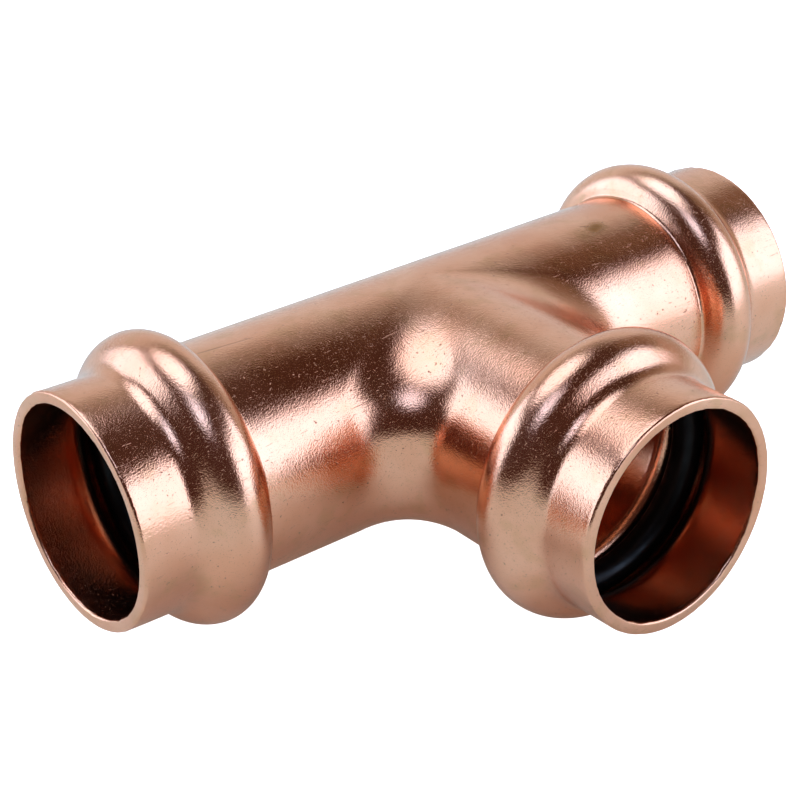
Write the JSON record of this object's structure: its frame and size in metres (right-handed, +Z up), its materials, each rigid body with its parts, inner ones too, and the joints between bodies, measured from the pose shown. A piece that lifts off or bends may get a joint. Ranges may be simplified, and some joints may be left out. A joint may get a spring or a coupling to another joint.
{
  "type": "press-fit tee fitting",
  "caption": "Copper equal tee for joining tube by pressing: a straight run and a side branch, each ending in a beaded socket with a rubber O-ring.",
  "frame": {"origin": "centre of the bounding box, on the level where the three beads rest", "axes": "+X along the run, -Y out of the branch, +Z up"},
  "size_m": [0.0878, 0.0532, 0.0307],
  "materials": {
    "copper": "satin",
    "seal_rubber": "satin"
  },
  "bodies": {
    "root": {"tee_body": "copper", "seal_run_left": "seal_rubber", "seal_run_right": "seal_rubber", "seal_branch": "seal_rubber"}
  },
  "joints": []
}
